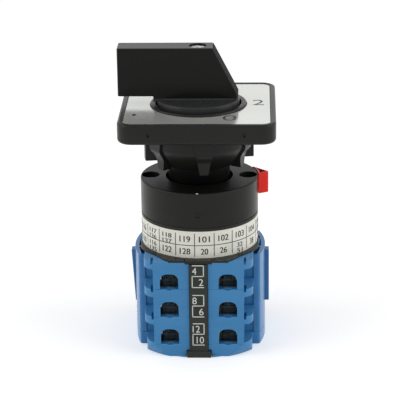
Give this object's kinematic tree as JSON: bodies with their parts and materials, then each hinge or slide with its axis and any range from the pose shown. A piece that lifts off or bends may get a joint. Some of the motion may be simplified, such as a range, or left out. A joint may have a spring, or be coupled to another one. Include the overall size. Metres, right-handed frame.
{
  "type": "cam switch",
  "caption": "Rotary cam changeover switch: square front plate with lever handle, threaded neck with ring nut, plug-on latch housing and stacked contact stages.",
  "frame": {"origin": "centre of the end plate's rear face, on the switch axis", "axes": "+Z along the switch axis towards the handle, -Y out of the front terminals, +X to the lock lever's side; at rest the lever points along -X"},
  "size_m": [0.0488, 0.048, 0.0954],
  "materials": {
    "handle_black": "satin moulded",
    "bezel_black": "satin moulded",
    "neck_black": "satin moulded",
    "nut_black": "satin moulded",
    "latch_black": "fine matte",
    "detent_black": "satin moulded",
    "strip_black": "satin moulded",
    "legend_silver": "brushed, clear coated",
    "label_film": "printed film",
    "lever_red": "glossy moulded",
    "gasket_rubber": "matte",
    "zinc_steel": "zinc plated",
    "clamp_steel": "dark phosphated, serrated",
    "screw_steel": "zinc plated",
    "spring_steel": "bright wire",
    "nylon_cream": "moulded",
    "contact_copper": "copper with silver tips",
    "contact_brass": "stamped brass",
    "stage_blue": "satin moulded",
    "cover_blue": "satin moulded",
    "side_plate_blue": "satin moulded"
  },
  "bodies": {
    "base": {"bezel_frame": "bezel_black", "legend_plate": "legend_silver", "mounting_base": "neck_black", "panel_gasket": "gasket_rubber", "latch_cover": "latch_black", "detent_housing": "detent_black", "rating_label": "label_film", "detent_rollers": "zinc_steel", "detent_springs": "spring_steel", "stage_1": "stage_blue", "spring_front_1": "spring_steel", "spring_rear_1": "spring_steel", "fixed_contacts_1": "contact_brass", "terminal_clamps_1": "clamp_steel", "terminal_screws_1": "screw_steel", "stage_2": "stage_blue", "spring_front_2": "spring_steel", "spring_rear_2": "spring_steel", "fixed_contacts_2": "contact_brass", "terminal_clamps_2": "clamp_steel", "terminal_screws_2": "screw_steel", "stage_3": "stage_blue", "spring_front_3": "spring_steel", "spring_rear_3": "spring_steel", "fixed_contacts_3": "contact_brass", "terminal_clamps_3": "clamp_steel", "terminal_screws_3": "screw_steel", "end_plate": "stage_blue", "marker_strip_front": "strip_black", "marker_strip_rear": "strip_black", "through_bolts": "zinc_steel", "bolt_nuts": "zinc_steel", "side_cover_left": "cover_blue", "side_cover_right": "cover_blue", "side_plate_left": "side_plate_blue", "side_plate_right": "side_plate_blue"},
    "rotor": {"handle": "handle_black", "handle_screw": "zinc_steel", "handle_washer": "zinc_steel", "shaft": "zinc_steel", "detent_star": "nylon_cream", "cam_1": "nylon_cream", "cam_2": "nylon_cream", "cam_3": "nylon_cream"},
    "lock": {"lock_lever": "lever_red"},
    "washer": {"thrust_washer": "zinc_steel"},
    "nut": {"ring_nut": "nut_black"},
    "contact_front_1": {"plunger_front_1": "nylon_cream", "bridge_front_1": "contact_copper"},
    "contact_front_2": {"plunger_front_2": "nylon_cream", "bridge_front_2": "contact_copper"},
    "contact_front_3": {"plunger_front_3": "nylon_cream", "bridge_front_3": "contact_copper"},
    "contact_rear_1": {"plunger_rear_1": "nylon_cream", "bridge_rear_1": "contact_copper"},
    "contact_rear_2": {"plunger_rear_2": "nylon_cream", "bridge_rear_2": "contact_copper"},
    "contact_rear_3": {"plunger_rear_3": "nylon_cream", "bridge_rear_3": "contact_copper"}
  },
  "joints": [
    {"name": "handle_turn", "type": "hinge", "parent": "base", "child": "rotor", "pos_m": [0, 0, 0.0772], "axis": [0, 0, 1], "range_deg": [-60, 60]},
    {"name": "lock_lever_turn", "type": "hinge", "parent": "base", "child": "lock", "pos_m": [0, 0, 0.0482], "axis": [0, 0, 1], "range_deg": [0, 25]},
    {"name": "thrust_washer_slide", "type": "slide", "parent": "base", "child": "washer", "axis": [0, 0, 1], "range_m": [-0.003, 0]},
    {"name": "ring_nut_turn", "type": "hinge", "parent": "washer", "child": "nut", "pos_m": [0, 0, 0.0697], "axis": [0, 0, 1], "range_deg": [-720, 0]},
    {"name": "contact_front_1_slide", "type": "slide", "parent": "base", "child": "contact_front_1", "axis": [0, 1, 0], "range_m": [-0.0012, 0.0012], "deforming": ["spring_front_1"]},
    {"name": "contact_front_2_slide", "type": "slide", "parent": "base", "child": "contact_front_2", "axis": [0, 1, 0], "range_m": [-0.0012, 0.0012], "deforming": ["spring_front_2"]},
    {"name": "contact_front_3_slide", "type": "slide", "parent": "base", "child": "contact_front_3", "axis": [0, 1, 0], "range_m": [-0.0012, 0.0012], "deforming": ["spring_front_3"]},
    {"name": "contact_rear_1_slide", "type": "slide", "parent": "base", "child": "contact_rear_1", "axis": [0, 1, 0], "range_m": [-0.0012, 0.0012], "deforming": ["spring_rear_1"]},
    {"name": "contact_rear_2_slide", "type": "slide", "parent": "base", "child": "contact_rear_2", "axis": [0, 1, 0], "range_m": [-0.0012, 0.0012], "deforming": ["spring_rear_2"]},
    {"name": "contact_rear_3_slide", "type": "slide", "parent": "base", "child": "contact_rear_3", "axis": [0, 1, 0], "range_m": [-0.0012, 0.0012], "deforming": ["spring_rear_3"]}
  ],
  "couplings": [
    {"joint": "thrust_washer_slide", "follows": "ring_nut_turn", "m_per_rad": 0.00023873},
    {"joint": "contact_front_1_slide", "follows": "handle_turn", "m_per_rad": 0.0011459},
    {"joint": "contact_front_2_slide", "follows": "handle_turn", "m_per_rad": 0.0011459},
    {"joint": "contact_front_3_slide", "follows": "handle_turn", "m_per_rad": 0.0011459},
    {"joint": "contact_rear_1_slide", "follows": "handle_turn", "m_per_rad": 0.0011459},
    {"joint": "contact_rear_2_slide", "follows": "handle_turn", "m_per_rad": 0.0011459},
    {"joint": "contact_rear_3_slide", "follows": "handle_turn", "m_per_rad": 0.0011459}
  ]
}
